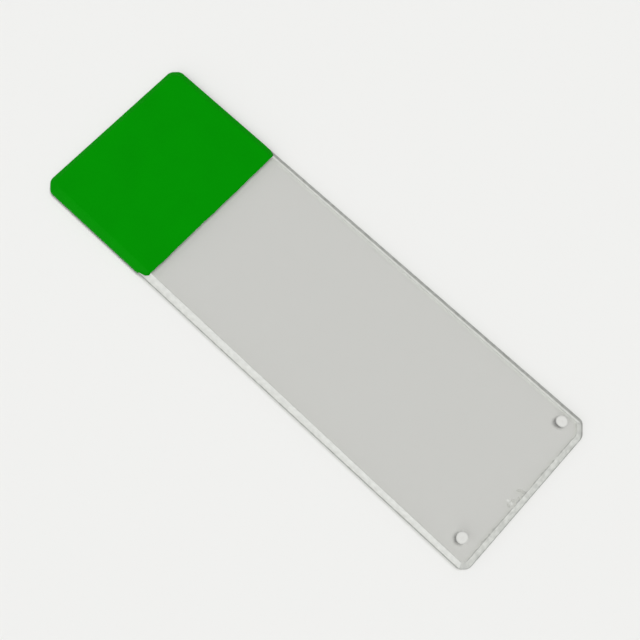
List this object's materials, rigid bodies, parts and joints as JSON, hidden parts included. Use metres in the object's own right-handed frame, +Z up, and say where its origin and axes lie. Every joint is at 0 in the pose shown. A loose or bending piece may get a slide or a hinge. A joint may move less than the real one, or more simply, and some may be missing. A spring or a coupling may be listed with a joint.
{
  "type": "microscope slide",
  "caption": "Flat clear glass slide that carries a specimen under a microscope, with ground bevelled edges, clipped corners, a green field at one end and raised dots at the other.",
  "frame": {"origin": "centre of the underside", "axes": "+X along the length to the clear end, +Y across the width, +Z up out of the printed face"},
  "size_m": [0.075, 0.025, 0.0012],
  "materials": {
    "clear_glass": "polished faces with a fine-ground bevel all round",
    "green_ink": "screen-printed and baked, satin",
    "white_ink": "screen-printed and baked, satin"
  },
  "bodies": {
    "root": {"glass_plate": "clear_glass", "colour_field": "green_ink", "corner_dots": "white_ink"}
  },
  "joints": []
}
